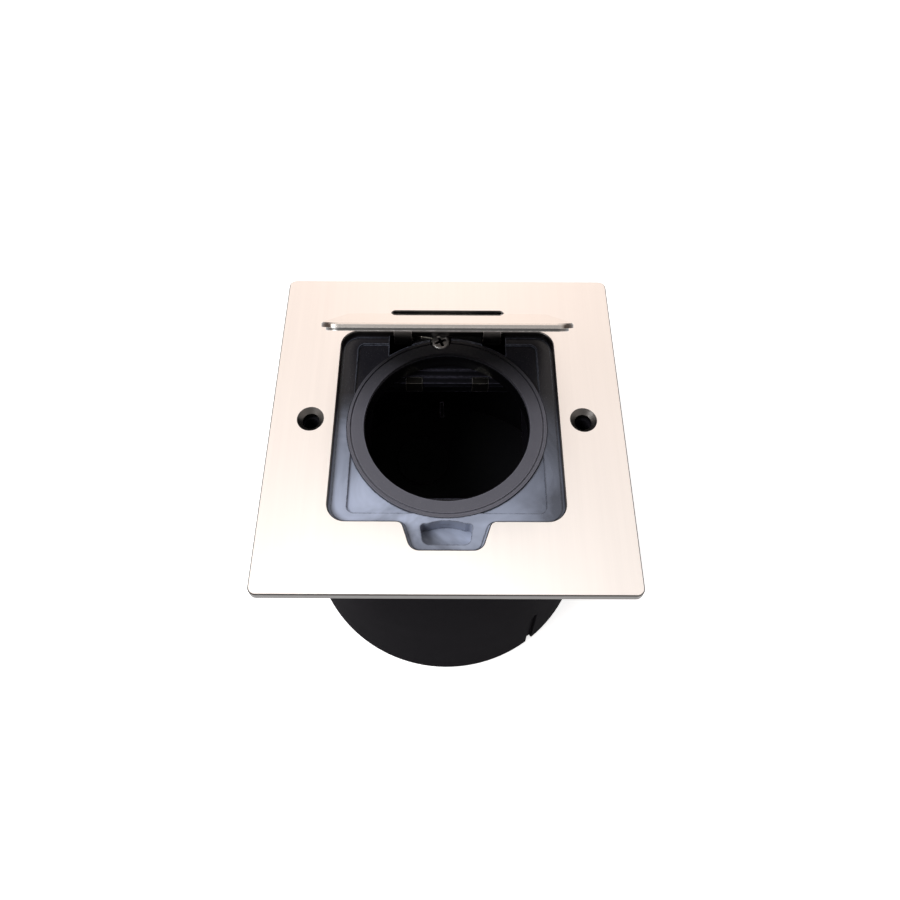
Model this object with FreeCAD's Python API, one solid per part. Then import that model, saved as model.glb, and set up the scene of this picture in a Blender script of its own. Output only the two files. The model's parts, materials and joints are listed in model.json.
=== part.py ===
import FreeCAD, Part
import math
import os
from FreeCAD import Vector

# Floor socket box: a square stainless face plate over a round floor can, with a
# hinged lid over a smoked lid tray, a ring seal and a carrier for one socket module.
# Millimetres. X to the right, Y to the hinge side, Z up.
# The origin is the middle of the can's foot.

# ---- face plate ----
plate_border = 21.8
plate_thick = 3.0
plate_corner_r = 2.6
plate_edge_chamfer = 0.35
plate_overhang = 4.0
opening_side_land = 4.0
opening_end_land = 2.2
opening_corner_r = 6.0
notch_root_half = 14.2
notch_end_half = 11.0
notch_depth = 9.4
notch_end_r = 3.6
notch_root_r = 2.4
hinge_slot_end_gap = 1.1
hinge_slot_side_gap = 0.3
hinge_slot_r = 1.3
fixing_hole_r = 2.9
countersink_r = 4.6

# ---- floor can ----
can_wall = 2.2
can_height = 94.0
can_foot_chamfer = 0.8
can_floor_top = 12.5
can_floor_thick = 2.2
base_groove_depth = 0.5
base_clear = 0.05
boss_inset = 7.3
boss_r = 5.0
boss_height = 24.0
boss_hole_r = 2.5
boss_web_half = 3.0
foot_slot_width = 3.0
foot_slot_height = 31.0
foot_slot_depth = 1.4
foot_slot_angle = 36.0
rib_count = 6
rib_first_angle = 92.6
rib_thick = 1.6
rib_height = 6.0
rib_depth = 4.5
rib_into_floor = 0.5
entry_height = 36.0
entry_hole_r = 10.2
entry_pad_wall = 4.3
entry_pad_proud = 0.4
entry_pad_depth = 6.0
floor_hole_x = -10.4
floor_hole_y = 27.3
floor_hole_r = 10.0
floor_collar_wall = 2.4
floor_collar_drop = 2.0
foot_rib_half = 30.0
foot_rib_thick = 2.0
foot_rib_height = 6.0

# ---- plate gasket ----
gasket_thick = 1.5
gasket_inset = 1.5
gasket_gap = 0.6

# ---- lid tray ----
tray_gap = 0.9
tray_flange_gap = 1.3
tray_boss_gap = 0.3
tray_panel_thick = 3.2
tray_lid_gap = 0.3
tray_border_x = 4.9
tray_border_y = 2.8
tray_recess_depth = 0.8
tray_recess_r = 2.5
tray_bore_r = 28.3
collar_wall = 2.6
collar_bottom_below = 10.5
scoop_end_border = 3.6
scoop_side_border = 2.4
scoop_length = 8.0
scoop_depth = 6.0
scoop_rim = 1.7
scoop_end_r = 2.2
scoop_root_r = 1.2
scoop_straight = 1.0
scoop_bow_ratio = 2.2
hinge_window_gap = 1.7
tray_post_r = 3.6
tray_post_out = 3.4

# ---- ring seal ----
seal_setback = 0.3
seal_width = 5.6
seal_lid_gap = 0.2
seal_seat_depth = 0.8
seal_lip_width = 0.9
seal_groove_width = 0.6
seal_groove_depth = 0.6
seal_clear = 0.2

# ---- lid ----
lid_side_gap = 1.9
lid_front_gap = 1.4
lid_corner_r = 5.2
lid_cover_thick = 1.4
lid_liner_thick = 1.0
lid_liner_inset = 1.3
lid_edge_chamfer = 0.45
lid_rest_angle = 51.7
rivet_r = 1.25
rivet_head_r = 2.6
rivet_head_thick = 0.5
rivet_x = 17.0
rivet_y = 17.0

# ---- hinge ----
pivot_back = 7.1
pivot_below = 2.8
knuckle_r = 1.9
pin_r = 0.9
pin_clear = 0.05
arm_thick = 1.0
arm_bridge_gap = 0.47
arm_side_gap = 0.4
arm_width = 6.4
lid_open_limit = 100.0
saddle_half = 12.7
saddle_thick = 1.2
saddle_below = 5.8
saddle_front = 8.1
cheek_thick = 2.0
screw_x = -2.5
screw_front = 9.1
screw_head_r = 3.5
screw_head_height = 1.9
screw_head_chamfer = 0.8
screw_shank_r = 1.7
screw_length = 9.0
screw_tip_gap = 1.5
screw_hole_clear = 0.1
screw_post_wall = 1.9
screw_relief = 0.5
shelf_thick = 2.5
coil_wire_r = 0.35
coil_clear = 0.2
coil_end_gap = 0.25
coil_pitch = 1.15
coil_chords = 8
coil_leg = 5.5
wire_sides = 5

# ---- module carrier ----
carrier_margin = 1.1
carrier_side_wall = 3.5
carrier_end_wall = 1.8
carrier_corner_r = 3.0
carrier_well_r = 1.0
carrier_depth = 21.5
module_width = 45.6
rail_front_half = 25.5
rail_back_half = 19.2
rail_top_below = 12.0
rail_thick = 4.0
rail_steps = 3
rail_riser = 0.9
ear_r = 4.2
ear_thick = 2.0
ear_hole_clear = 0.2
ear_boss_gap = 0.8
clip_x = 12.2
clip_width = 6.0
clip_thick = 0.4
clip_drop = 5.0
clip_step_gap = 0.2

# ---- small fasteners ----
stud_r = 1.5
stud_length = 6.5
stud_window_gap = 0.5
stud_hole_clear = 0.3
nut_flats = 5.5
nut_thick = 2.4
nut_clear = 0.02
washer_r = 3.5
washer_thick = 0.5
washer_clear = 0.05
ear_screw_r = 1.4
ear_screw_clear = 0.03
ear_screw_head_r = 2.7
ear_screw_head_thick = 1.6
ear_screw_grip = 5.0
ear_screw_tip_gap = 0.5
cross_width = 0.9
cross_reach = 2.1
cross_depth = 0.55
tag_width = 7.2
tag_thick = 0.8
tag_length = 8.2
tag_blade_step = 0.6
tag_drop = 6.3

# ---- plugs ----
plug_clear = 0.05
grommet_flange_over = 2.4
grommet_flange_thick = 1.4
grommet_flange_slope = 0.9
grommet_wall = 2.2
grommet_skin = 1.0
plug_flange_over = 1.5
plug_flange_thick = 1.2
plug_flange_chamfer = 0.5
plug_wall = 1.4
plug_skin = 0.4

# ---- levels and places worked out from the sizes above ----
plate_bottom = can_height + gasket_thick
plate_top = plate_bottom + plate_thick
seal_inner_r = tray_bore_r + seal_setback
seal_outer_r = seal_inner_r + seal_width
opening_half_x = seal_outer_r + opening_side_land
opening_half_y = seal_outer_r + opening_end_land
plate_side = 2 * (opening_half_x + plate_border)
can_r = plate_side / 2 - plate_overhang
can_inner_r = can_r - can_wall
can_floor_bottom = can_floor_top - can_floor_thick
fixing_x = can_inner_r - boss_inset
boss_bottom = can_height - boss_height
tray_flange_r = can_inner_r - tray_flange_gap
gasket_inner_r = tray_flange_r + gasket_gap
pivot_y = opening_half_y + pivot_back
pivot_z = plate_top - pivot_below
arm_inner_r = math.hypot(pivot_back, pivot_below) + arm_bridge_gap
arm_half_gap = saddle_half + arm_side_gap
arm_reach = arm_half_gap + arm_width
window_half = arm_reach + hinge_window_gap
lid_half_x = opening_half_x - lid_side_gap
lid_rear_y = pivot_y - arm_inner_r
lid_front_y = -opening_half_y + lid_front_gap
lid_bottom = plate_top - lid_cover_thick - lid_liner_thick
tray_top = lid_bottom - tray_lid_gap
recess_top = tray_top - tray_recess_depth
panel_bottom = tray_top - tray_panel_thick
seal_top = lid_bottom - seal_lid_gap
seal_seat = recess_top - seal_seat_depth
collar_bottom = plate_top - collar_bottom_below
saddle_top = plate_top - saddle_below
saddle_bottom = saddle_top - saddle_thick
saddle_back_y = pivot_y + knuckle_r
screw_y = pivot_y - screw_front
screw_head_bottom = saddle_top + 2 * coil_wire_r
rail_top = plate_top - rail_top_below
rail_front_y = module_width / 2
carrier_half = tray_bore_r + collar_wall + carrier_margin
carrier_inner_x = carrier_half - carrier_side_wall
carrier_inner_y = carrier_half - carrier_end_wall
ear_x = carrier_half + tray_post_out
ear_y = boss_r + ear_r + ear_boss_gap
stud_x = window_half + washer_r + stud_window_gap
stud_y = (opening_half_y - tray_gap + math.sqrt(can_inner_r ** 2 - stud_x ** 2)) / 2


def box(x0, x1, y0, y1, z0, z1):
    return Part.makeBox(x1 - x0, y1 - y0, z1 - z0, Vector(x0, y0, z0))


def rod(x, y, r, z0, z1):
    return Part.makeCylinder(r, z1 - z0, Vector(x, y, z0))


def bar_x(y, z, r, x0, x1):
    return Part.makeCylinder(r, x1 - x0, Vector(x0, y, z), Vector(1, 0, 0))


def outline(points, radii):
    """A closed face through the points, each corner rounded by its own radius."""
    edges = []
    count = len(points)
    corners = []
    for i in range(count):
        here = Vector(*points[i], 0)
        back = Vector(*points[i - 1], 0) - here
        ahead = Vector(*points[(i + 1) % count], 0) - here
        r = radii[i]
        if r <= 0:
            corners.append((here, here, here))
            continue
        half = back.getAngle(ahead) / 2
        reach = r / math.tan(half)
        start = here + back.normalize() * reach
        end = here + ahead.normalize() * reach
        middle_way = (start + end) * 0.5 - here
        centre = here + middle_way.normalize() * (r / math.sin(half))
        corners.append((start, centre + (here - centre).normalize() * r, end))
    for i in range(count):
        start, middle, end = corners[i]
        if (end - start).Length > 1e-6:
            edges.append(Part.Arc(start, middle, end).toShape())
        following = corners[(i + 1) % count][0]
        if (following - end).Length > 1e-6:
            edges.append(Part.LineSegment(end, following).toShape())
    return Part.Face(Part.Wire(edges))


def slab(face, z0, z1):
    lifted = face.copy()
    lifted.translate(Vector(0, 0, z0))
    return lifted.extrude(Vector(0, 0, z1 - z0))


def rounded_rectangle(half_x, half_y, r, centre_y=0.0):
    low, high = centre_y - half_y, centre_y + half_y
    points = [(-half_x, low), (half_x, low), (half_x, high), (-half_x, high)]
    return outline(points, [r] * 4)


def opening_outline(inset):
    """The plate's opening with its finger notch, moved inwards by inset."""
    slope = (notch_root_half - notch_end_half) / notch_depth
    side_shift = inset * math.hypot(1, slope)
    hx = opening_half_x - inset
    hy = opening_half_y - inset
    root = notch_root_half + slope * inset - side_shift
    end = notch_end_half + slope * inset - side_shift
    tip = opening_half_y + notch_depth - inset
    points = [(-hx, -hy), (-root, -hy), (-end, -tip), (end, -tip),
              (root, -hy), (hx, -hy), (hx, hy), (-hx, hy)]
    corner = opening_corner_r - inset
    radii = [corner, notch_root_r + inset, notch_end_r - inset, notch_end_r - inset,
             notch_root_r + inset, corner, corner, corner]
    return outline(points, radii)


def four_corners(x, y):
    return [(sx * x, sy * y) for sx in (-1, 1) for sy in (-1, 1)]


def ear_places():
    """Where the carrier hangs under the tray: two ears, each beside a screw boss."""
    return [(ear_x, ear_y), (-ear_x, -ear_y)]


def cross_recess(x, y, top, reach):
    arms = [box(x - reach, x + reach, y - cross_width / 2, y + cross_width / 2,
                top - cross_depth, top + 1),
            box(x - cross_width / 2, x + cross_width / 2, y - reach, y + reach,
                top - cross_depth, top + 1)]
    return arms[0].fuse(arms[1])


def chamfer_level(shape, level, size):
    """Chamfers every edge that lies flat at one height."""
    edges = [e for e in shape.Edges
             if abs(e.BoundBox.ZMin - level) < 1e-4 and abs(e.BoundBox.ZMax - level) < 1e-4]
    return shape.makeChamfer(size, edges)


def face_plate():
    side = plate_side / 2
    plate = slab(rounded_rectangle(side, side, plate_corner_r), plate_bottom, plate_top)
    plate = plate.cut(slab(opening_outline(0), plate_bottom - 1, plate_top + 1))
    slot_half = arm_reach + hinge_slot_end_gap
    slot = rounded_rectangle(slot_half, knuckle_r + hinge_slot_side_gap, hinge_slot_r, pivot_y)
    plate = plate.cut(slab(slot, plate_bottom - 1, plate_top + 1))
    plate = chamfer_level(plate, plate_top, plate_edge_chamfer)
    depth = countersink_r - fixing_hole_r
    for x in (-fixing_x, fixing_x):
        plate = plate.cut(rod(x, 0, fixing_hole_r, plate_bottom - 1, plate_top + 1))
        cone = Part.makeCone(fixing_hole_r, countersink_r, depth, Vector(x, 0, plate_top - depth))
        plate = plate.cut(cone)
    return plate


def plate_gasket():
    side = plate_side / 2 - gasket_inset
    sheet = slab(rounded_rectangle(side, side, plate_corner_r), can_height, plate_bottom)
    return sheet.cut(rod(0, 0, gasket_inner_r, can_height - 1, plate_bottom + 1))


def screw_relief_space(z0, z1):
    return rod(screw_x, screw_y, screw_head_r + screw_relief, z0, z1)


def scoop():
    """The finger pocket in the tray: tapered sides, and a back edge bowed towards the ring."""
    near = -(opening_half_y + notch_depth - tray_gap) + scoop_rim
    far = near + scoop_length
    end_half = notch_end_half - scoop_end_border
    root_half = notch_end_half - scoop_side_border
    side_end = far - scoop_straight
    points = [(-end_half, near), (end_half, near), (root_half, side_end), (-root_half, side_end)]
    edge = outline(points, [scoop_end_r, scoop_end_r, scoop_root_r, scoop_root_r])
    pocket = slab(edge, tray_top - scoop_depth, tray_top + 1)
    bow_r = root_half * scoop_bow_ratio
    crown = rod(0, far - bow_r, bow_r, tray_top - scoop_depth, tray_top + 1)
    back = box(-root_half, root_half, side_end - 1, far + 1, tray_top - scoop_depth, tray_top + 1)
    return pocket.fuse(back.common(crown)).removeSplitter()


def lid_tray():
    island = slab(opening_outline(tray_gap), panel_bottom, tray_top)
    flange = rod(0, 0, tray_flange_r, can_height, plate_bottom)
    flange_half = fixing_x - boss_r - tray_boss_gap
    flange = flange.common(box(-flange_half, flange_half, -plate_side, plate_side, 0, plate_top))
    tray = island.fuse(flange)
    recess = rounded_rectangle(opening_half_x - tray_gap - tray_border_x,
                               opening_half_y - tray_gap - tray_border_y, tray_recess_r)
    tray = tray.cut(slab(recess, recess_top, tray_top + 1))
    cup_bottom = tray_top - scoop_depth - scoop_rim
    cup = slab(opening_outline(tray_gap), cup_bottom, panel_bottom)
    cup = cup.common(box(-notch_root_half, notch_root_half, -plate_side / 2,
                         -seal_outer_r - tray_gap, cup_bottom, panel_bottom))
    tray = tray.fuse(cup)
    tray = tray.fuse(rod(0, 0, tray_bore_r + collar_wall, collar_bottom, recess_top))
    window = box(-window_half, window_half, 0, plate_side, saddle_bottom, plate_top)
    window = window.cut(rod(0, 0, seal_outer_r + tray_gap, 0, plate_top + 1))
    tray = tray.cut(window)
    shelf = box(-saddle_half, saddle_half, 0, saddle_back_y, saddle_bottom - shelf_thick, saddle_bottom)
    tray = tray.fuse(shelf)
    post_bottom = saddle_bottom - screw_length
    tray = tray.fuse(rod(screw_x, screw_y, screw_shank_r + screw_post_wall, post_bottom, saddle_bottom))
    for x, y in ear_places():
        tray = tray.fuse(rod(x, y, tray_post_r, collar_bottom, recess_top))
    tray = tray.cut(rod(0, 0, tray_bore_r, 0, plate_top + 1))
    tray = tray.cut(rod(0, 0, seal_outer_r + seal_clear, seal_seat, plate_top + 1))
    tray = tray.cut(scoop())
    tray = tray.cut(screw_relief_space(saddle_bottom, plate_top + 1))
    tray = tray.cut(rod(screw_x, screw_y, screw_shank_r + screw_hole_clear,
                        post_bottom + screw_tip_gap / 2, plate_top))
    for x, y in four_corners(stud_x, stud_y):
        tray = tray.cut(rod(x, y, stud_r + stud_hole_clear, can_height - 1, plate_bottom + 1))
    for x, y in ear_places():
        tray = tray.cut(rod(x, y, ear_screw_r, collar_bottom - 1, collar_bottom + ear_screw_grip))
    return tray.removeSplitter()


def ring_seal():
    """A flat rubber ring with a groove that leaves a thin lip round its outside."""
    groove_floor = seal_top - seal_groove_depth
    groove_outer_r = seal_outer_r - seal_lip_width
    groove_inner_r = groove_outer_r - seal_groove_width
    points = [(seal_inner_r, seal_seat), (seal_outer_r, seal_seat), (seal_outer_r, seal_top),
              (groove_outer_r, seal_top), (groove_outer_r, groove_floor),
              (groove_inner_r, groove_floor), (groove_inner_r, seal_top), (seal_inner_r, seal_top)]
    corners = [Vector(r, 0, z) for r, z in points]
    section = Part.Face(Part.makePolygon(corners + corners[:1]))
    ring = section.revolve(Vector(0, 0, 0), Vector(0, 0, 1), 360)
    return ring.cut(screw_relief_space(seal_seat - 1, seal_top + 1))


def turned(shape, side):
    """The shape as it is for side 1, or turned half round the can's axis for side -1."""
    copy = shape.copy()
    copy.rotate(Vector(0, 0, 0), Vector(0, 0, 1), 0 if side > 0 else 180)
    return copy


def mounting_can():
    """The can's tube: screw bosses, cable entries and a groove that the base snaps into."""
    can = rod(0, 0, can_r, 0, can_height)
    can = chamfer_level(can, 0, can_foot_chamfer)
    outer = can_r + entry_pad_proud
    pad_r = entry_hole_r + entry_pad_wall
    for side in (-1, 1):
        can = can.fuse(turned(bar_x(0, entry_height, pad_r, 0, outer), side))
    can = can.cut(rod(0, 0, can_inner_r, -1, can_height + 1))
    can = can.cut(rod(0, 0, can_inner_r + base_groove_depth, can_floor_bottom, can_floor_top))
    pad = bar_x(0, entry_height, pad_r, outer - entry_pad_depth, outer)
    column = rod(fixing_x, 0, boss_r, boss_bottom, can_height)
    web = box(fixing_x, can_r - can_wall / 2, -boss_web_half, boss_web_half, boss_bottom, can_height)
    for side in (-1, 1):
        can = can.fuse(turned(pad.fuse(column).fuse(web), side))
    hole = bar_x(0, entry_height, entry_hole_r, outer - entry_pad_depth - 1, outer + 1)
    for side in (-1, 1):
        can = can.cut(turned(hole, side))
        can = can.cut(rod(side * fixing_x, 0, boss_hole_r, boss_bottom - 1, can_height + 1))
        can = can.cut(turned(foot_slot(), side))
    return can.removeSplitter()


def can_base():
    """The can's floor, a ribbed disc with one cable entry, snapped into the tube from below."""
    base = rod(0, 0, can_inner_r + base_groove_depth - base_clear, can_floor_bottom, can_floor_top)
    for i in range(rib_count):
        base = base.fuse(floor_gusset(rib_first_angle + i * 360.0 / rib_count))
    base = base.fuse(foot_ribs())
    base = base.fuse(rod(floor_hole_x, floor_hole_y, floor_hole_r + floor_collar_wall,
                         can_floor_bottom - floor_collar_drop, can_floor_top))
    base = base.cut(rod(floor_hole_x, floor_hole_y, floor_hole_r, 0, can_floor_top + 1))
    return base.removeSplitter()


def floor_gusset(angle):
    """A small triangular rib on the base that steadies it against the tube's wall."""
    wall = can_inner_r - base_clear
    end = can_inner_r - rib_depth
    low = can_floor_top - rib_into_floor
    corners = [Vector(wall, -rib_thick / 2, low),
               Vector(end, -rib_thick / 2, low),
               Vector(end, -rib_thick / 2, can_floor_top),
               Vector(wall, -rib_thick / 2, can_floor_top + rib_height)]
    rib = Part.Face(Part.makePolygon(corners + corners[:1])).extrude(Vector(0, rib_thick, 0))
    space = rod(0, 0, wall, low, can_floor_top + rib_height)
    rib = rib.common(space)
    rib.rotate(Vector(0, 0, 0), Vector(0, 0, 1), angle)
    return rib


def foot_ribs():
    """Crossed ribs under the base that end at the tube's wall."""
    half = foot_rib_thick / 2
    reach = math.sqrt((can_inner_r - base_clear) ** 2 - (foot_rib_half + half) ** 2)
    low = can_floor_bottom - foot_rib_height
    ribs = []
    for place in (-foot_rib_half, foot_rib_half):
        ribs.append(box(place - half, place + half, -reach, reach, low, can_floor_bottom))
        ribs.append(box(-reach, reach, place - half, place + half, low, can_floor_bottom))
    return ribs[0].multiFuse(ribs[1:])


def foot_slot():
    """A narrow groove down the outside of the wall to the foot, round at its top."""
    r = foot_slot_width / 2
    top = foot_slot_height - r
    cut = box(-r, r, -can_r - 1, -can_r + foot_slot_depth, -1, top)
    cap = Part.makeCylinder(r, foot_slot_depth + 1, Vector(0, -can_r - 1, top), Vector(0, 1, 0))
    cut = cut.fuse(cap)
    cut.rotate(Vector(0, 0, 0), Vector(0, 0, 1), foot_slot_angle)
    return cut


def revolved_x(points, y, z):
    """Revolves (x, radius) points about the line along X through y and z."""
    corners = [Vector(x, y + r, z) for x, r in points]
    section = Part.Face(Part.makePolygon(corners + corners[:1]))
    return section.revolve(Vector(0, y, z), Vector(1, 0, 0), 360)


def cable_grommets():
    """Closed rubber grommets, each snapped into an entry of the can's wall."""
    outer = can_r + entry_pad_proud
    inner = outer - entry_pad_depth
    flange_r = entry_hole_r + grommet_flange_over
    slope_r = flange_r - grommet_flange_slope
    neck_r = entry_hole_r - plug_clear
    hollow_r = entry_hole_r - grommet_wall
    face = outer + grommet_flange_thick
    points = [(face, 0), (face, slope_r), (outer, flange_r), (outer, neck_r), (inner, neck_r),
              (inner, flange_r), (inner - grommet_flange_thick, flange_r),
              (inner - grommet_flange_thick, hollow_r), (face - grommet_skin, hollow_r),
              (face - grommet_skin, 0)]
    grommet = revolved_x(points, 0, entry_height)
    return Part.makeCompound([turned(grommet, side) for side in (-1, 1)])


def floor_plug():
    """A blanking plug pushed into the floor's entry from inside."""
    low = can_floor_bottom - floor_collar_drop
    top = can_floor_top + plug_flange_thick
    x, y = floor_hole_x, floor_hole_y
    plug = rod(x, y, floor_hole_r - plug_clear, low, can_floor_top)
    plug = plug.fuse(rod(x, y, floor_hole_r + plug_flange_over, can_floor_top, top))
    plug = chamfer_level(plug, top, plug_flange_chamfer)
    return plug.cut(rod(x, y, floor_hole_r - plug_wall, low - 1, can_floor_top - plug_skin))


def module_carrier():
    """A square well with stepped rails front and back that a snap-in module hooks under."""
    top = collar_bottom
    bottom = top - carrier_depth
    block = slab(rounded_rectangle(carrier_half, carrier_half, carrier_corner_r), bottom, top)
    for x, y in ear_places():
        ear = rod(x, y, ear_r, top - ear_thick, top)
        inward = box(min(x, 0), max(x, 0), y - ear_r, y + ear_r, top - ear_thick, top)
        block = block.fuse(ear).fuse(inward)
    well = rounded_rectangle(carrier_inner_x, carrier_inner_y, carrier_well_r)
    block = block.cut(slab(well, bottom - 1, top + 1))
    run = carrier_inner_y - rail_front_y
    taper = (rail_front_half - rail_back_half) / run
    into_wall = carrier_inner_y + carrier_end_wall / 3
    for side in (-1, 1):
        for step in range(rail_steps):
            start = rail_front_y + step * run / rail_steps
            half = rail_front_half - taper * (start - rail_front_y)
            height = rail_top - (rail_steps - 1 - step) * rail_riser
            points = [(-half, side * start), (half, side * start),
                      (rail_back_half, side * into_wall), (-rail_back_half, side * into_wall)]
            face = Part.Face(Part.makePolygon([Vector(*p, 0) for p in points + points[:1]]))
            block = block.fuse(slab(face, rail_top - rail_thick, height))
    for x, y in ear_places():
        block = block.cut(rod(x, y, ear_screw_r + ear_hole_clear, bottom - 1, top + 1))
    post_r = screw_shank_r + screw_post_wall
    return block.cut(rod(screw_x, screw_y, post_r + tray_boss_gap, bottom - 1, top + 1)).removeSplitter()


def carrier_screws():
    head_top = collar_bottom - ear_thick
    screws = []
    for x, y in ear_places():
        tip = collar_bottom + ear_screw_grip - ear_screw_tip_gap
        screw = rod(x, y, ear_screw_r - ear_screw_clear, head_top, tip)
        head = rod(x, y, ear_screw_head_r, head_top - ear_screw_head_thick, head_top)
        screws.append(screw.fuse(head))
    return Part.makeCompound(screws)


def module_clips():
    """Thin spring clips hooked over the front edge of each rail."""
    lowest_step = rail_top - (rail_steps - 1) * rail_riser
    clips = []
    for side in (-1, 1):
        for x in (-clip_x, clip_x):
            reach = (carrier_inner_y - rail_front_y) / rail_steps
            leaf = box(x - clip_width / 2, x + clip_width / 2, rail_front_y - clip_thick,
                       rail_front_y + reach - clip_step_gap, lowest_step, lowest_step + clip_thick)
            drop = box(x - clip_width / 2, x + clip_width / 2, rail_front_y - clip_thick,
                       rail_front_y, lowest_step - clip_drop, lowest_step + clip_thick)
            clip = leaf.fuse(drop).removeSplitter()
            if side < 0:
                clip.rotate(Vector(0, 0, 0), Vector(0, 0, 1), 180)
            clips.append(clip)
    return Part.makeCompound(clips)


def hinge_saddle():
    """The bracket under the plate that carries the pin between two cheeks."""
    saddle = box(-saddle_half, saddle_half, pivot_y - saddle_front, saddle_back_y,
                 saddle_bottom, saddle_top)
    saddle = saddle.fuse(rod(screw_x, screw_y, screw_head_r, saddle_bottom, saddle_top))
    for x0 in (-saddle_half, saddle_half - cheek_thick):
        x1 = x0 + cheek_thick
        saddle = saddle.fuse(box(x0, x1, pivot_y - knuckle_r, saddle_back_y, saddle_bottom, pivot_z))
        saddle = saddle.fuse(bar_x(pivot_y, pivot_z, knuckle_r, x0, x1))
    saddle = saddle.cut(bar_x(pivot_y, pivot_z, pin_r + pin_clear, -saddle_half - 1, saddle_half + 1))
    saddle = saddle.cut(rod(screw_x, screw_y, screw_shank_r + screw_hole_clear, 0, plate_top))
    return saddle.removeSplitter()


def hinge_screw():
    top = screw_head_bottom + screw_head_height
    head = rod(screw_x, screw_y, screw_head_r, screw_head_bottom, top)
    head = chamfer_level(head, top, screw_head_chamfer)
    head = head.cut(cross_recess(screw_x, screw_y, top, cross_reach))
    shank = rod(screw_x, screw_y, screw_shank_r, saddle_bottom - screw_length + screw_tip_gap,
                screw_head_bottom)
    return head.fuse(shank)


def carried_section(points, r, sides):
    """Carries a regular section of radius r along straight runs, mitred at each corner."""
    way = (points[1] - points[0]).normalize()
    across = way.cross(Vector(0, 0, 1)).normalize()
    up = way.cross(across)
    angles = [2 * math.pi * k / sides for k in range(sides)]
    ring = [points[0] + across * (r * math.cos(a)) + up * (r * math.sin(a)) for a in angles]
    faces = [Part.Face(Part.makePolygon(ring + ring[:1]))]
    for i in range(1, len(points)):
        way = (points[i] - points[i - 1]).normalize()
        ahead = (points[i + 1] - points[i]).normalize() if i + 1 < len(points) else way
        mitre = (way + ahead).normalize()
        reached = [p + way * ((points[i] - p).dot(mitre) / way.dot(mitre)) for p in ring]
        for k in range(sides):
            n = (k + 1) % sides
            corners = [ring[k], ring[n], reached[n], reached[k]]
            faces.append(Part.Face(Part.makePolygon(corners + corners[:1])))
        ring = reached
    faces.append(Part.Face(Part.makePolygon(ring + ring[:1])))
    shell = Part.makeShell(faces)
    shell.sewShape()
    solid = Part.makeSolid(shell)
    if solid.Volume < 0:
        solid.reverse()
    return solid


def hinge_spring():
    """Coil on the pin, wound in short chords, with one leg hooked round the hinge screw."""
    mean_r = pin_r + coil_clear + coil_wire_r
    half = saddle_half - cheek_thick - coil_end_gap - coil_wire_r
    level = saddle_top + coil_wire_r
    hook_r = screw_shank_r + 2 * coil_wire_r
    hook = [Vector(screw_x + hook_r * math.sin(a), screw_y + hook_r * math.cos(a), level)
            for a in (math.pi / 2, math.pi / 4, 0)]
    corner = Vector(-half, pivot_y - coil_leg, level)
    turns = 2 * half / coil_pitch
    count = round(turns * coil_chords)
    coil = []
    for i in range(count + 1):
        angle = 2 * math.pi * turns * i / count
        coil.append(Vector(-half + 2 * half * i / count, pivot_y + mean_r * math.sin(angle),
                           pivot_z - mean_r * math.cos(angle)))
    return carried_section(hook + [corner] + coil, coil_wire_r, wire_sides)


def closed_lid_profile():
    """Side view of one hinge arm with the lid shut: knuckle, flat, bow and liner edge.

    The flat is tangent to the knuckle and lies level under the plate when the lid is
    at its open limit. The bow keeps one radius about the pin, round the plate's edge.
    """
    outer_r = arm_inner_r + arm_thick
    flat = box(-arm_width, 0, -outer_r, 0, -knuckle_r, -knuckle_r + arm_thick)
    flat = flat.common(bar_x(0, 0, outer_r, -arm_width, 0))
    knuckle = bar_x(0, 0, knuckle_r, -arm_width, 0)
    flat = flat.fuse(knuckle)
    flat.rotate(Vector(0, 0, 0), Vector(1, 0, 0), lid_open_limit)
    ring = bar_x(0, 0, outer_r, -arm_width, 0).cut(bar_x(0, 0, arm_inner_r, -arm_width - 1, 1))
    liner_low = lid_bottom - pivot_z
    liner_high = liner_low + lid_liner_thick
    far = 3 * outer_r
    low_turn = math.radians(lid_open_limit) + math.asin(knuckle_r / outer_r)
    wedge = [Vector(-arm_width - 1, 0, liner_high), Vector(-arm_width - 1, -far, liner_high),
             Vector(-arm_width - 1, -far, -far), Vector(-arm_width - 1, far * 0.35, -far),
             Vector(-arm_width - 1, -far * math.cos(low_turn), -far * math.sin(low_turn)),
             Vector(-arm_width - 1, 0, 0)]
    if wedge[4].y > wedge[3].y:
        wedge[3] = Vector(-arm_width - 1, wedge[4].y, -far)
    space = Part.Face(Part.makePolygon(wedge + wedge[:1])).extrude(Vector(arm_width + 2, 0, 0))
    bow = ring.common(space)
    return flat.fuse(bow)


def lid_liner():
    """Inner plate of the lid, with the two hinge arms curled from its rear edge."""
    half = lid_half_x - lid_liner_inset
    rear = lid_rear_y
    front = lid_front_y + lid_liner_inset
    sheet = rounded_rectangle(half, (rear - front) / 2, lid_corner_r - lid_liner_inset, (rear + front) / 2)
    liner = slab(sheet, lid_bottom, lid_bottom + lid_liner_thick)
    for side in (-1, 1):
        arm = closed_lid_profile()
        x = arm_reach if side > 0 else -arm_half_gap
        arm.translate(Vector(x, pivot_y, pivot_z))
        liner = liner.fuse(arm)
    liner = liner.cut(bar_x(pivot_y, pivot_z, pin_r, -plate_side / 2, plate_side / 2))
    for x, y in four_corners(rivet_x, rivet_y):
        liner = liner.cut(rod(x, y, rivet_r, lid_bottom - 1, plate_top + 1))
    return liner.removeSplitter()


def lid_cover():
    half_y = (lid_rear_y - lid_front_y) / 2
    sheet = rounded_rectangle(lid_half_x, half_y, lid_corner_r, (lid_rear_y + lid_front_y) / 2)
    cover = slab(sheet, plate_top - lid_cover_thick, plate_top)
    return chamfer_level(cover, plate_top, lid_edge_chamfer)


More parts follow.
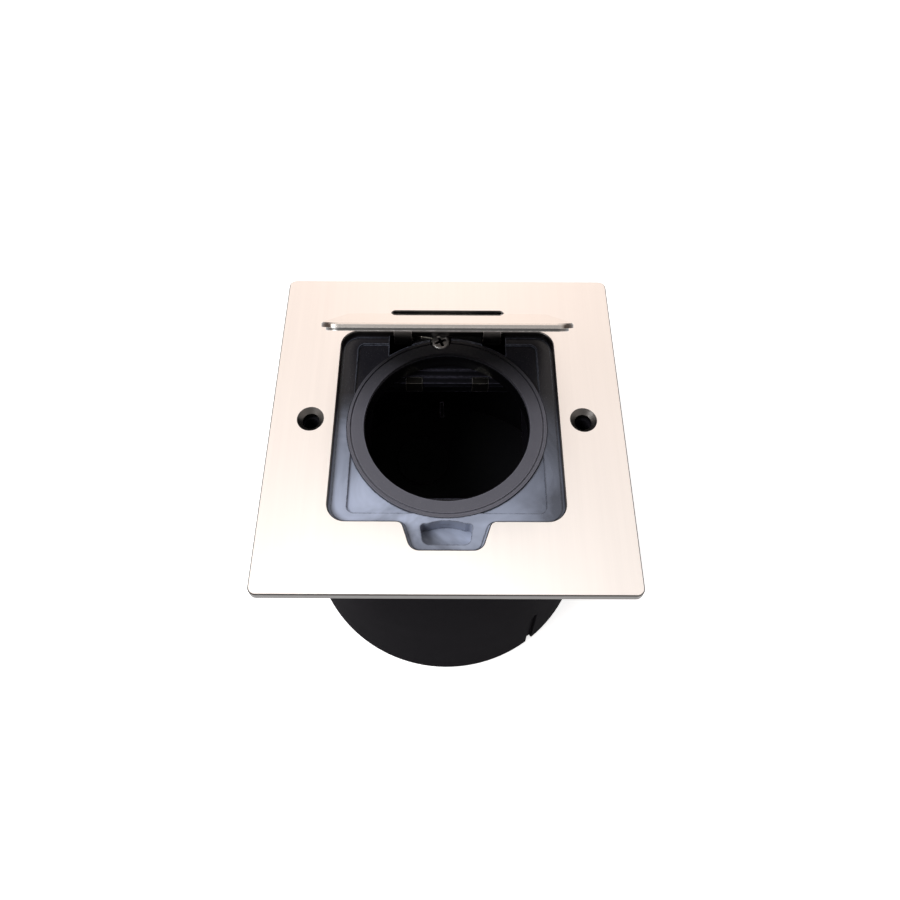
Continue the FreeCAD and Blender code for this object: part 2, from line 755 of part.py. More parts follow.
def lid_rivets():
    rivets = []
    for x, y in four_corners(rivet_x, rivet_y):
        head = rod(x, y, rivet_head_r, lid_bottom - rivet_head_thick, lid_bottom)
        rivets.append(head.fuse(rod(x, y, rivet_r, lid_bottom, plate_top - lid_cover_thick)))
    return Part.makeCompound(rivets)


def hinge_pin():
    return bar_x(pivot_y, pivot_z, pin_r, -arm_reach, arm_reach)


def swing(shape, angle):
    """Turns a piece of the lid about the pin; positive opens."""
    turned = shape.copy()
    turned.rotate(Vector(0, pivot_y, pivot_z), Vector(-1, 0, 0), angle)
    return turned


def plate_studs():
    return Part.makeCompound([rod(x, y, stud_r, plate_bottom - stud_length, plate_bottom)
                              for x, y in four_corners(stud_x, stud_y)])


def hexagon(x, y, flats, z0, z1):
    corner = flats / math.sqrt(3)
    points = [Vector(x + corner * math.cos(math.radians(60 * i)),
                     y + corner * math.sin(math.radians(60 * i)), z0) for i in range(6)]
    return Part.Face(Part.makePolygon(points + points[:1])).extrude(Vector(0, 0, z1 - z0))


def washer_top(x, y):
    """The washer sits under the flange, or under the earth tag at that one stud."""
    at_tag = x < 0 and y < 0
    return can_height - (tag_thick if at_tag else 0)


def stud_washers():
    washers = []
    for x, y in four_corners(stud_x, stud_y):
        top = washer_top(x, y)
        ring = rod(x, y, washer_r, top - washer_thick, top)
        washers.append(ring.cut(rod(x, y, stud_r + washer_clear, 0, plate_top)))
    return Part.makeCompound(washers)


def stud_nuts():
    nuts = []
    for x, y in four_corners(stud_x, stud_y):
        top = washer_top(x, y) - washer_thick
        nut = hexagon(x, y, nut_flats, top - nut_thick, top)
        nuts.append(nut.cut(rod(x, y, stud_r + nut_clear, 0, plate_top)))
    return Part.makeCompound(nuts)


def earth_tag():
    """A folded brass tag clamped on one stud, with a blade for the earth wire."""
    x, y = -stud_x, -stud_y
    top = can_height
    half = tag_width / 2
    end = x + tag_length
    eye = rod(x, y, half, top - tag_thick, top)
    strip = box(x, end, y - half, y + half, top - tag_thick, top)
    blade = box(end - tag_thick, end, y - half + tag_blade_step, y + half - tag_blade_step,
                top - tag_thick - tag_drop, top)
    tag = eye.fuse(strip).fuse(blade)
    return tag.cut(rod(x, y, stud_r + washer_clear, 0, plate_top)).removeSplitter()


fixed_pieces = {
    "face_plate": face_plate,
    "plate_gasket": plate_gasket,
    "lid_tray": lid_tray,
    "ring_seal": ring_seal,
    "plate_studs": plate_studs,
    "stud_washers": stud_washers,
    "stud_nuts": stud_nuts,
    "earth_tag": earth_tag,
    "hinge_saddle": hinge_saddle,
    "hinge_spring": hinge_spring,
    "hinge_screw": hinge_screw,
    "module_carrier": module_carrier,
    "carrier_screws": carrier_screws,
    "module_clips": module_clips,
    "mounting_can": mounting_can,
    "can_base": can_base,
    "cable_grommets": cable_grommets,
    "floor_plug": floor_plug,
}
lid_pieces = {
    "lid_cover": lid_cover,
    "lid_liner": lid_liner,
    "lid_rivets": lid_rivets,
    "hinge_pin": hinge_pin,
}


def main():
    os.makedirs("parts", exist_ok=True)
    for name, make in fixed_pieces.items():
        make().exportStep("parts/" + name + ".step")
    for name, make in lid_pieces.items():
        swing(make(), lid_rest_angle).exportStep("parts/" + name + ".step")


main()
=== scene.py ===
import json
import math

import bpy
import numpy as np
from mathutils import Matrix, Vector


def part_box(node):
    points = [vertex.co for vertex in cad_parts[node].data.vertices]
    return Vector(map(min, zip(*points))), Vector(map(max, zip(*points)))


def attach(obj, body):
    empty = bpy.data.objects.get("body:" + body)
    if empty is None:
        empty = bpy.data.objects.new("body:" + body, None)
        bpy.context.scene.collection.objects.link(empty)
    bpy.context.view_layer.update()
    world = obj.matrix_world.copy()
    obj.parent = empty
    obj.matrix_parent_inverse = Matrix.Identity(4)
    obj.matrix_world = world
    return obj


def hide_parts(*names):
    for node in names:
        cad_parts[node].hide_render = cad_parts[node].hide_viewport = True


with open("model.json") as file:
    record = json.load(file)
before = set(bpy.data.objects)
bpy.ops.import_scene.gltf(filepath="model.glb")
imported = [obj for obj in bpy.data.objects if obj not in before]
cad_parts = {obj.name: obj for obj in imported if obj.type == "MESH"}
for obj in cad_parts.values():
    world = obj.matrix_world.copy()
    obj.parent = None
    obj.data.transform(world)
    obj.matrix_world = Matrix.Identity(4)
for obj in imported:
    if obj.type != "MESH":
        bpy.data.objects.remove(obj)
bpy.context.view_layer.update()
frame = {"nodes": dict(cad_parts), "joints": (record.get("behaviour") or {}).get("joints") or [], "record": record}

bl_info = {
    "name": "Floor socket box finish",
    "version": (1, 0, 0),
    "blender": (4, 5, 0),
    "location": "View3D > Sidebar > Floor box",
    "description": "Finishes and fine pieces for a floor socket box with a hinged lid",
    "category": "Object",
}

MM = 0.001
WHITE = (1.0, 1.0, 1.0)

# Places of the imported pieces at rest.
PLATE_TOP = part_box("face_plate")[1].z
SADDLE_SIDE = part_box("hinge_saddle")[1].x
PIN_LOW, PIN_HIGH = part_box("hinge_pin")
SCREW_LOW, SCREW_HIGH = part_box("hinge_screw")
STUDS_LOW, STUDS_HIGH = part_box("plate_studs")
TRAY_BORE_R = 28.3 * MM      # no box gives it

# The Mix node's sockets for colours.
MIX_MASK, MIX_LOW, MIX_HIGH, MIX_RESULT = 0, 6, 7, 2

# Turns that lay a pattern along a sheet: the lid rests open, and its joint's lower
# limit brings it flat.
ALONG_PLATE = (0.0, 0.0, 0.0)
ALONG_LID = (math.radians(frame["joints"][0]["range_deg"][0]), 0.0, 0.0)

# The stage: half the floor's width, each lamp's place, disc and colour, and the room's
# warm walls with a dark card, which lies in the direction given last.
FLOOR_REACH = 3.0
LAMPS = {
    "key_lamp": {"place": (-0.52, -0.24, 0.76), "size": 0.50, "colour": WHITE},
    "top_lamp": {"place": (-0.05, 0.02, 0.90), "size": 0.30, "colour": WHITE},
    "back_wash": {"place": (0.0, 0.85, 0.75), "size": 0.50, "colour": (1.0, 0.80, 0.68)},
}
ROOM_WALLS = (1.0, 0.90, 0.84)
ROOM_CARD = (0.50, 0.48, 0.47)
TOWARDS_CARD = (0.0, -0.50, 0.866)


def length_property(label, text, millimetres):
    return bpy.props.FloatProperty(name=label, description=text, default=millimetres * MM,
                                   min=0.0, precision=5, unit="LENGTH")


def colour_property(label, text, colour):
    return bpy.props.FloatVectorProperty(name=label, description=text, default=colour, size=3,
                                         min=0.0, max=1.0, subtype="COLOR")


def number_property(label, text, value):
    return bpy.props.FloatProperty(name=label, description=text, default=value)


class FloorBoxColours(bpy.types.PropertyGroup):
    """Colours of the finishes."""

    plate: colour_property("Plate steel", "Brushed steel of the face plate",
                           (0.94, 0.885, 0.845))
    # Painted shade: the dark colour of the plate's faces that don't look up.
    cut: colour_property("Cut steel", "Cut faces of the face plate", (0.105, 0.102, 0.100))
    lid: colour_property("Lid steel", "Brushed steel of the lid", (0.68, 0.65, 0.62))
    # Painted shade: the dark colour of the lid's faces that look sideways.
    ends: colour_property("Lid ends", "Darker rolled ends of the lid", (0.075, 0.062, 0.055))
    liner: colour_property("Liner steel", "Pressed sheet inside the lid", (0.15, 0.15, 0.15))
    bracket: colour_property("Bracket steel", "Pressed steel of the hinge bracket",
                             (0.13, 0.13, 0.135))
    plated: colour_property("Plated steel", "Plated screws, nuts and studs",
                            (0.34, 0.34, 0.335))
    wire: colour_property("Spring wire", "Drawn wire of the spring and the pin",
                          (0.66, 0.64, 0.58))
    brass: colour_property("Brass", "Earth tag", (0.72, 0.54, 0.25))
    tray: colour_property("Smoked tray", "Smoked plastic of the lid tray",
                          (0.010, 0.010, 0.014))
    # The haze colour also carries the painted light at the tray's front left.
    haze: colour_property("Tray haze", "Cloudy patches in the smoked plastic",
                          (0.66, 0.74, 0.96))
    seal: colour_property("Seal rubber", "Rubber ring", (0.095, 0.095, 0.117))
    rubber: colour_property("Grommet rubber", "Grommets, plug and gasket",
                            (0.008, 0.008, 0.009))
    carrier: colour_property("Carrier plastic", "Module carrier", (0.005, 0.005, 0.007))
    can: colour_property("Can plastic", "Floor can", (0.0085, 0.008, 0.010))


class FloorBoxSizes(bpy.types.PropertyGroup):
    """Sizes of the fine pieces that the frame doesn't give."""

    wire: length_property("Wire", "Thickness of the spring wire", 0.7)
    coil_gap: length_property("Coil gap", "Free gap between the pin and the coil", 0.2)
    coil_pitch: length_property("Coil pitch", "Step of the coil along the pin", 1.02)
    cheek: length_property("Cheek", "Thickness of each cheek of the bracket", 2.0)
    head_height: length_property("Screw head", "Height of the hinge screw's head", 1.9)
    shank: length_property("Screw shank", "Radius of the hinge screw's shank", 1.7)
    cross_reach: length_property("Cross reach", "Half length of the screw's cross", 2.05)
    cross_half: length_property("Cross arm", "Half width of the cross's arms", 0.52)
    cross_depth: length_property("Cross depth", "Depth of the cross", 0.95)
    stud: length_property("Stud", "Radius of the plate's studs", 1.5)
    stud_pitch: length_property("Stud pitch", "Thread pitch of the studs", 0.5)
    boss_bore: length_property("Boss bore", "Radius of the can's screw bores", 2.5)
    boss_pitch: length_property("Boss pitch", "Thread pitch in the screw bores", 0.8)


class FloorBoxStage(bpy.types.PropertyGroup):
    """Camera, lamps and room."""

    camera_side: length_property("Camera side", "Camera to the right of the plate's middle",
                                 0.0)
    camera_front: length_property("Camera front", "Camera in front of the plate's middle",
                                  145.2)
    camera_over: length_property("Camera height", "Camera above the plate", 259.7)
    camera_tilt: number_property("Camera tilt", "Degrees below the horizon", 53.60)
    camera_turn: number_property("Camera turn", "Degrees about the vertical", -0.274)
    camera_roll: number_property("Camera roll", "Degrees about the line of sight", 0.493)
    lens: number_property("Lens", "Focal length in millimetres on a 36 mm frame", 34.67)
    shift: number_property("Shift", "Share of the frame that the view is shifted up", -0.1556)
    key_power: number_property("Key lamp", "Watts of the large lamp at the front left", 6.0)
    top_power: number_property("Top lamp", "Watts of the small lamp overhead", 0.60)
    wash_power: number_property("Back wash", "Watts of the warm lamp behind", 0.35)
    room: number_property("Room light", "Brightness of the room around the object", 0.40)


# ---- node helpers ----

def add(tree, kind, **values):
    """A new node; values set its properties, or its sockets where a name matches one."""
    made = tree.nodes.new(kind)
    for name, value in values.items():
        if hasattr(made, name) and name not in made.inputs:
            setattr(made, name, value)
        else:
            made.inputs[name].default_value = value
    return made


def join(tree, start, end):
    tree.links.new(start, end)


def blend_colour(tree, mask, low, high):
    """Mixes two colours by a mask from 0 to 1. A colour may be a socket."""
    mix = add(tree, "ShaderNodeMix", data_type="RGBA")
    for place, value in ((MIX_LOW, low), (MIX_HIGH, high)):
        if hasattr(value, "default_value"):
            join(tree, value, mix.inputs[place])
        else:
            mix.inputs[place].default_value = (*value, 1.0)
    join(tree, mask, mix.inputs[MIX_MASK])
    return mix.outputs[MIX_RESULT]


def spread(tree, value, low, high, start=0.0, end=1.0):
    """Maps a value from start..end to low..high, and stops it at both ends."""
    made = add(tree, "ShaderNodeMapRange")
    made.inputs["From Min"].default_value = start
    made.inputs["From Max"].default_value = end
    made.inputs["To Min"].default_value = low
    made.inputs["To Max"].default_value = high
    join(tree, value, made.inputs["Value"])
    return made.outputs["Result"]


def ramp(tree, value, start, end):
    """A mask that rises from 0 at start to 1 at end."""
    return spread(tree, value, 0.0, 1.0, start, end)


def product(tree, first, *others):
    """The product of two or more values."""
    for other in others:
        made = add(tree, "ShaderNodeMath", operation="MULTIPLY")
        join(tree, first, made.inputs[0])
        join(tree, other, made.inputs[1])
        first = made.outputs[0]
    return first


def split(tree, vector):
    """The X, Y and Z of a vector."""
    made = add(tree, "ShaderNodeSeparateXYZ")
    join(tree, vector, made.inputs[0])
    return made.outputs


def face_normal(tree):
    return add(tree, "ShaderNodeNewGeometry").outputs["Normal"]


def dot_product(tree, one, other):
    """How far two directions agree. The second may be plain numbers."""
    made = add(tree, "ShaderNodeVectorMath", operation="DOT_PRODUCT")
    join(tree, one, made.inputs[0])
    if hasattr(other, "default_value"):
        join(tree, other, made.inputs[1])
    else:
        made.inputs[1].default_value = other
    return made.outputs["Value"]


def noise(tree, vector, **values):
    made = add(tree, "ShaderNodeTexNoise", **values)
    join(tree, vector, made.inputs["Vector"])
    return made


def new_group(name, inputs, outputs):
    """An empty shader node group with the named sockets."""
    tree = bpy.data.node_groups.new(name, "ShaderNodeTree")
    for label, kind, default in inputs:
        socket = tree.interface.new_socket(label, in_out="INPUT", socket_type=kind)
        if default is not None:
            socket.default_value = default
    for label, kind in outputs:
        tree.interface.new_socket(label, in_out="OUTPUT", socket_type=kind)
    return tree, tree.nodes.new("NodeGroupInput"), tree.nodes.new("NodeGroupOutput")


def brushing_group():
    """Long fine streaks: noise stretched along Y, plus a slow change of tone."""
    tree, given, put = new_group(
        "Brushing",
        [("Vector", "NodeSocketVector", None), ("Across", "NodeSocketFloat", 3200.0),
         ("Along", "NodeSocketFloat", 40.0)],
        [("Streaks", "NodeSocketFloat"), ("Tone", "NodeSocketFloat")])
    stretch = add(tree, "ShaderNodeCombineXYZ")
    join(tree, given.outputs["Across"], stretch.inputs[0])
    join(tree, given.outputs["Along"], stretch.inputs[1])
    join(tree, given.outputs["Across"], stretch.inputs[2])
    scaled = add(tree, "ShaderNodeVectorMath", operation="MULTIPLY")
    join(tree, given.outputs["Vector"], scaled.inputs[0])
    join(tree, stretch.outputs[0], scaled.inputs[1])
    fine = noise(tree, scaled.outputs[0], Scale=1.0, Detail=4.0, Roughness=0.65)
    wide = noise(tree, scaled.outputs[0], Scale=0.16, Detail=2.0, Roughness=0.5)
    both = add(tree, "ShaderNodeMath", operation="MULTIPLY_ADD")
    both.inputs[1].default_value = 0.5
    join(tree, wide.outputs["Fac"], both.inputs[0])
    join(tree, spread(tree, fine.outputs["Fac"], 0.0, 0.5), both.inputs[2])
    join(tree, both.outputs[0], put.inputs["Streaks"])
    slow = noise(tree, given.outputs["Vector"], Scale=22.0, Detail=1.0)
    join(tree, slow.outputs["Fac"], put.inputs["Tone"])
    return tree


def edge_group():
    """1 on sharp edges, 0 on flats: how far a rounded normal leaves the true one."""
    tree, given, put = new_group(
        "Edge wear and glint",
        [("Radius", "NodeSocketFloat", 0.6 * MM), ("Vector", "NodeSocketVector", None)],
        [("Mask", "NodeSocketFloat")])
    soft = add(tree, "ShaderNodeBevel", samples=6)
    join(tree, given.outputs["Radius"], soft.inputs["Radius"])
    agree = dot_product(tree, soft.outputs[0], face_normal(tree))
    edge = spread(tree, agree, 1.0, 0.0, 0.80, 0.99)
    chips = noise(tree, given.outputs["Vector"], Scale=900.0, Detail=3.0)
    whole = spread(tree, chips.outputs["Fac"], 0.35, 1.0, 0.35, 0.65)
    join(tree, product(tree, edge, whole), put.inputs["Mask"])
    return tree


def mould_group():
    """The fine bloom of moulded plastic or rubber: small noise and faint flow patches."""
    tree, given, put = new_group(
        "Mould texture",
        [("Vector", "NodeSocketVector", None), ("Grain", "NodeSocketFloat", 1500.0)],
        [("Height", "NodeSocketFloat"), ("Patches", "NodeSocketFloat")])
    fine = noise(tree, given.outputs["Vector"], Detail=5.0, Roughness=0.7)
    join(tree, given.outputs["Grain"], fine.inputs["Scale"])
    join(tree, fine.outputs["Fac"], put.inputs["Height"])
    patches = noise(tree, given.outputs["Vector"], Scale=34.0, Detail=4.0, Distortion=0.8)
    join(tree, patches.outputs["Fac"], put.inputs["Patches"])
    return tree


def dust_group():
    """Specks that lie only on faces that look up."""
    tree, given, put = new_group(
        "Dust", [("Vector", "NodeSocketVector", None), ("Amount", "NodeSocketFloat", 0.4)],
        [("Mask", "NodeSocketFloat")])
    specks = noise(tree, given.outputs["Vector"], Scale=2600.0, Detail=2.0)
    few = ramp(tree, specks.outputs["Fac"], 0.62, 0.72)
    up = ramp(tree, split(tree, face_normal(tree))["Z"], 0.5, 0.95)
    join(tree, product(tree, few, up, given.outputs["Amount"]), put.inputs["Mask"])
    return tree


GROUP_MAKERS = {"Brushing": brushing_group, "Edge wear and glint": edge_group,
                "Mould texture": mould_group, "Dust": dust_group}
GROUPS = {}


def group(tree, name, vector, **values):
    """Places a shared effect in a material, built the first time that it is needed."""
    if name not in GROUPS:
        GROUPS[name] = GROUP_MAKERS[name]()
    made = tree.nodes.new("ShaderNodeGroup")
    made.node_tree = GROUPS[name]
    join(tree, vector, made.inputs["Vector"])
    for label, value in values.items():
        made.inputs[label].default_value = value
    return made


def start_material(name, turn=ALONG_PLATE):
    """A material with its Principled shader and a turned Object coordinate."""
    material = bpy.data.materials.new(name)
    material.use_nodes = True
    tree = material.node_tree
    shader = tree.nodes["Principled BSDF"]
    place = add(tree, "ShaderNodeMapping", vector_type="POINT")
    place.inputs["Rotation"].default_value = turn
    join(tree, add(tree, "ShaderNodeTexCoord").outputs["Object"], place.inputs["Vector"])
    return material, tree, shader, place.outputs[0]


def bump(tree, shader, height, strength, distance):
    made = add(tree, "ShaderNodeBump", Strength=strength, Distance=distance)
    join(tree, height, made.inputs["Height"])
    join(tree, made.outputs[0], shader.inputs["Normal"])


def dimmer(colour, share):
    return tuple(channel * share for channel in colour)


# ---- materials ----

def brushed_steel(name, colour, turn, rough=0.34, cut=None, ends=None, skim=None):
    """Steel brushed in one direction, brighter along its edges.

    The faces that don't look up get a dark colour as painted shade, and those that look
    sideways a dark ends colour as painted shade; skim is the lower roughness that a finely
    brushed sheet has at a grazing angle.
    """
    material, tree, shader, place = start_material(name, turn)
    grain = group(tree, "Brushing", place)
    edge = group(tree, "Edge wear and glint", place, Radius=0.5 * MM)
    bright_edge = (0.90, 0.88, 0.86)
    base = blend_colour(tree, grain.outputs["Streaks"], dimmer(colour, 0.90), colour)
    tone = spread(tree, grain.outputs["Tone"], 0.0, 0.35)
    toned = blend_colour(tree, tone, base, dimmer(colour, 0.94))
    wear_and_painted_light = blend_colour(tree, edge.outputs["Mask"], toned, bright_edge)
    # Painted shade: the faces that don't look up take a dark colour.
    if cut:
        upward = ramp(tree, split(tree, face_normal(tree))["Z"], 0.80, 0.97)
        wear_and_painted_light = blend_colour(tree, upward, cut, wear_and_painted_light)
    # Painted shade: the faces that look sideways, the lid's rolled ends, take a dark colour.
    if ends:
        sideways = add(tree, "ShaderNodeMath", operation="ABSOLUTE")
        join(tree, split(tree, face_normal(tree))["X"], sideways.inputs[0])
        wear_and_painted_light = blend_colour(tree, ramp(tree, sideways.outputs[0], 0.15, 0.40), wear_and_painted_light, ends)
    join(tree, wear_and_painted_light, shader.inputs["Base Color"])
    gloss = spread(tree, grain.outputs["Streaks"], 0.85 * rough, 1.15 * rough)
    if skim:
        facing = add(tree, "ShaderNodeLayerWeight").outputs["Facing"]
        gloss = product(tree, gloss, spread(tree, facing, 1.0, skim / rough, 0.80, 0.93))
    join(tree, gloss, shader.inputs["Roughness"])
    shader.inputs["Metallic"].default_value = 1.0
    relief = 0.03 if skim else 0.20
    bump(tree, shader, grain.outputs["Streaks"], relief, 0.02 * MM)
    return material


def plain_metal(name, colour, rough, edge_gain=1.35, pit=None):
    """Small plated or drawn metal: faint tool marks and brighter edges.

    edge_gain is how much brighter, a painted highlight where it is large; pit gives two
    heights, a painted shade of black below the first and plain above the second.
    """
    material, tree, shader, place = start_material(name)
    marks = group(tree, "Mould texture", place, Grain=1200.0)
    edge = group(tree, "Edge wear and glint", place, Radius=0.3 * MM)
    base = blend_colour(tree, marks.outputs["Patches"], dimmer(colour, 0.78), colour)
    wear_and_painted_light = blend_colour(tree, edge.outputs["Mask"], base, dimmer(colour, edge_gain))
    # Painted shade: below the first height the colour turns black.
    if pit:
        lit = ramp(tree, split(tree, place)["Z"], *pit)
        wear_and_painted_light = blend_colour(tree, lit, dimmer(colour, 0.01), wear_and_painted_light)
    join(tree, wear_and_painted_light, shader.inputs["Base Color"])
    gloss = spread(tree, marks.outputs["Height"], rough - 0.08, rough + 0.12)
    join(tree, gloss, shader.inputs["Roughness"])
    shader.inputs["Metallic"].default_value = 1.0
    bump(tree, shader, marks.outputs["Height"], 0.12, 0.03 * MM)
    return material


def smoked_plastic(colours):
    """Smoked plastic: opaque near black under cloudy haze, painted light and shade, and a little dust."""
    material, tree, shader, place = start_material("smoked_plastic")
    flow = group(tree, "Mould texture", place, Grain=420.0)
    edge = group(tree, "Edge wear and glint", place, Radius=0.7 * MM)
    dust = group(tree, "Dust", place, Amount=0.10)
    along = split(tree, place)
    # Painted light and shade: the haze is thick at the front left, where light is painted, and clears towards the
    # back and the right, where shade is painted.
    front, back = -36 * MM, 12 * MM
    left, right = -30 * MM, 36 * MM
    haze_and_painted_light = product(tree, spread(tree, flow.outputs["Patches"], 0.30, 1.0, 0.38, 0.62),
                    spread(tree, along["Y"], 1.0, 0.0, front, back),
                    spread(tree, along["X"], 1.0, 0.40, left, right))
    base = blend_colour(tree, haze_and_painted_light, colours.tray, colours.haze)
    # Painted highlight: its edges keep the dark tray colour at the front and are lighter at the back.
    painted_edge_light = blend_colour(tree, ramp(tree, along["Y"], 4 * MM, 22 * MM),
                         colours.tray, dimmer(colours.haze, 0.22))
    rim = blend_colour(tree, edge.outputs["Mask"], base, painted_edge_light)
    # Painted shade: the bore's own wall is darkened, as it stands over the unlit can.
    flat = add(tree, "ShaderNodeVectorMath", operation="MULTIPLY")
    flat.inputs[1].default_value = (1.0, 1.0, 0.0)
    join(tree, place, flat.inputs[0])
    radius = add(tree, "ShaderNodeVectorMath", operation="LENGTH")
    join(tree, flat.outputs[0], radius.inputs[0])
    outside = ramp(tree, radius.outputs["Value"],
                   TRAY_BORE_R + 0.1 * MM, TRAY_BORE_R + 0.4 * MM)
    with_bore_shade = blend_colour(tree, outside, dimmer(colours.tray, 0.2), rim)
    pale_dust = (0.45, 0.45, 0.46)
    dusty = blend_colour(tree, dust.outputs["Mask"], with_bore_shade, pale_dust)
    join(tree, dusty, shader.inputs["Base Color"])
    join(tree, spread(tree, haze_and_painted_light, 0.24, 0.42), shader.inputs["Roughness"])
    shader.inputs["Specular IOR Level"].default_value = 0.35
    bump(tree, shader, flow.outputs["Height"], 0.08, 0.06 * MM)
    return material


def moulded(name, colour, rough, grain, gloss=0.25, edge_gain=1.9, dust_amount=0.0, painted_shade_span=None):
    """Moulded plastic or rubber with a fine bloom and lighter edges.

    gloss is its specular level and edge_gain how much lighter its edges are, a painted
    highlight where the gain is large; the last argument gives the two places along Y between
    which a painted shade darkens it.
    """
    material, tree, shader, place = start_material(name)
    bloom = group(tree, "Mould texture", place, Grain=grain)
    edge = group(tree, "Edge wear and glint", place, Radius=0.6 * MM)
    dust = group(tree, "Dust", place, Amount=dust_amount)
    base = blend_colour(tree, bloom.outputs["Patches"],
                        dimmer(colour, 0.8), dimmer(colour, 1.25))
    # Lighter edges: wear at small gains, painted highlights at large ones.
    rim = blend_colour(tree, edge.outputs["Mask"], base, dimmer(colour, edge_gain))
    # Painted shade: darker towards the back between the two given places.
    if painted_shade_span:
        behind = ramp(tree, split(tree, place)["Y"], *painted_shade_span)
        rim = blend_colour(tree, behind, rim, dimmer(colour, 0.1))
    warm_dust = (0.32, 0.31, 0.30)
    dusty = blend_colour(tree, dust.outputs["Mask"], rim, warm_dust)
    join(tree, dusty, shader.inputs["Base Color"])
    uneven = spread(tree, bloom.outputs["Height"], rough - 0.07, rough + 0.07)
    join(tree, uneven, shader.inputs["Roughness"])
    shader.inputs["Specular IOR Level"].default_value = gloss
    bump(tree, shader, bloom.outputs["Height"], 0.25, 0.08 * MM)
    return material


def floor_material():
    """Pale floor that the camera and mirrors see as white, with the shadow kept."""
    material, tree, shader, place = start_material("studio_floor")
    shader.inputs["Roughness"].default_value = 0.9
    shader.inputs["Specular IOR Level"].default_value = 0.0
    speck = noise(tree, place, Scale=60.0)
    pale = blend_colour(tree, speck.outputs["Fac"], dimmer(WHITE, 0.84), dimmer(WHITE, 0.88))
    join(tree, pale, shader.inputs["Base Color"])
    shader.inputs["Emission Color"].default_value = (*WHITE, 1.0)
    glow = spread(tree, camera_mirror_mask(tree), 0.0, 0.78)
    join(tree, glow, shader.inputs["Emission Strength"])
    return material


def camera_mirror_mask(tree):
    """1 for rays from the camera, a mirror or clear plastic, 0 for light on the object."""
    path = add(tree, "ShaderNodeLightPath")
    mask = path.outputs["Is Camera Ray"]
    for ray in ("Is Glossy Ray", "Is Transmission Ray"):
        either = add(tree, "ShaderNodeMath", operation="MAXIMUM")
        join(tree, mask, either.inputs[0])
        join(tree, path.outputs[ray], either.inputs[1])
        mask = either.outputs[0]
    return mask


# ---- mesh helpers ----

def grid_faces(rows, columns, ring=False):
    """Quads of a grid that closes round its columns, and with ring over its rows too."""
    r, c = np.meshgrid(np.arange(rows if ring else rows - 1), np.arange(columns), indexing="ij")
    after = (c + 1) % columns
    above = (r + 1) % rows
    quads = np.stack([r * columns + c, r * columns + after,
                      above * columns + after, above * columns + c], axis=-1)
    return quads.reshape(-1, 4)


def closed_tube_mesh(name, points):
    """A closed shell from a grid [row, column, xyz] that closes round its columns.

    The first and last rows are capped by fans to their mean points.
    """
    rows, columns, _ = points.shape
    ends = np.stack([points[0].mean(axis=0), points[-1].mean(axis=0)])
    vertices = np.concatenate([points.reshape(-1, 3), ends])
    first, last = rows * columns, rows * columns + 1
    ring = np.arange(columns)
    after = (ring + 1) % columns
    low = np.stack([np.full(columns, first), after, ring], axis=-1)
    high = np.stack([np.full(columns, last), ring + (rows - 1) * columns,
                     after + (rows - 1) * columns], axis=-1)
    faces = grid_faces(rows, columns).tolist() + low.tolist() + high.tolist()
    return make_object(name, vertices, faces)


def make_object(name, vertices, faces):
    mesh = bpy.data.meshes.new(name)
    mesh.from_pydata(vertices.tolist(), [], faces)
    mesh.validate()
    mesh.shade_smooth()
    made = bpy.data.objects.new(name, mesh)
    bpy.context.scene.collection.objects.link(made)
    return made


def join_objects(name, objects):
    """One object from several: their meshes are stacked and their faces renumbered."""
    vertices, faces, start = [], [], 0
    for each in objects:
        count = len(each.data.vertices)
        flat = np.zeros(count * 3)
        each.data.vertices.foreach_get("co", flat)
        vertices.append(flat.reshape(-1, 3))
        faces += [[i + start for i in face.vertices] for face in each.data.polygons]
        start += count
        bpy.data.objects.remove(each)
    return make_object(name, np.concatenate(vertices), faces)


def carry_circle(path, guide, radius, sides):
    """Carries a circle of the given radius along a path.

    At each point the circle stands across the tangent; guide is a vector that is
    never along the tangent, and sets where the circle's first point lies.
    """
    tangent = np.gradient(path, axis=0)
    tangent /= np.linalg.norm(tangent, axis=1, keepdims=True)
    side = np.cross(guide, tangent)
    side /= np.linalg.norm(side, axis=1, keepdims=True)
    other = np.cross(tangent, side)
    angle = np.linspace(0, 2 * np.pi, sides, endpoint=False)[None, :, None]
    circle = np.cos(angle) * side[:, None] + np.sin(angle) * other[:, None]
    return path[:, None] + radius * circle


def finish_piece(piece, material, body, replaced=()):
    """Gives a new piece its material in a slot, its body, and hides the parts that it replaces."""
    piece.data.materials.clear()
    piece.data.materials.append(material)
    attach(piece, body)
    if replaced:
        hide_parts(*replaced)


def smooth_step(value):
    """Rises from 0 at 0 to 1 at 1, level at both ends."""
    value = np.clip(value, 0, 1)
    return value * value * (3 - 2 * value)


def dress(material, *names):
    """Gives carried nodes their finish in the slots that they already have."""
    for name in names:
        for slot in frame["nodes"][name].material_slots:
            slot.material = material


# ---- operators ----

class FLOORBOX_OT_steel(bpy.types.Operator):
    """Brush the plate and the lid"""
    bl_idname = "floorbox.steel"
    bl_label = "Brushed steel"

    def execute(self, context):
        colours = context.scene.floor_box_colours
        dress(brushed_steel("plate_steel", colours.plate, ALONG_PLATE, cut=tuple(colours.cut)),
              "face_plate")
        dress(brushed_steel("lid_steel", colours.lid, ALONG_LID, rough=0.26,
                            ends=tuple(colours.ends), skim=0.035), "lid_cover")
        dress(brushed_steel("liner_steel", colours.liner, ALONG_LID, rough=0.30), "lid_liner")
        return {"FINISHED"}


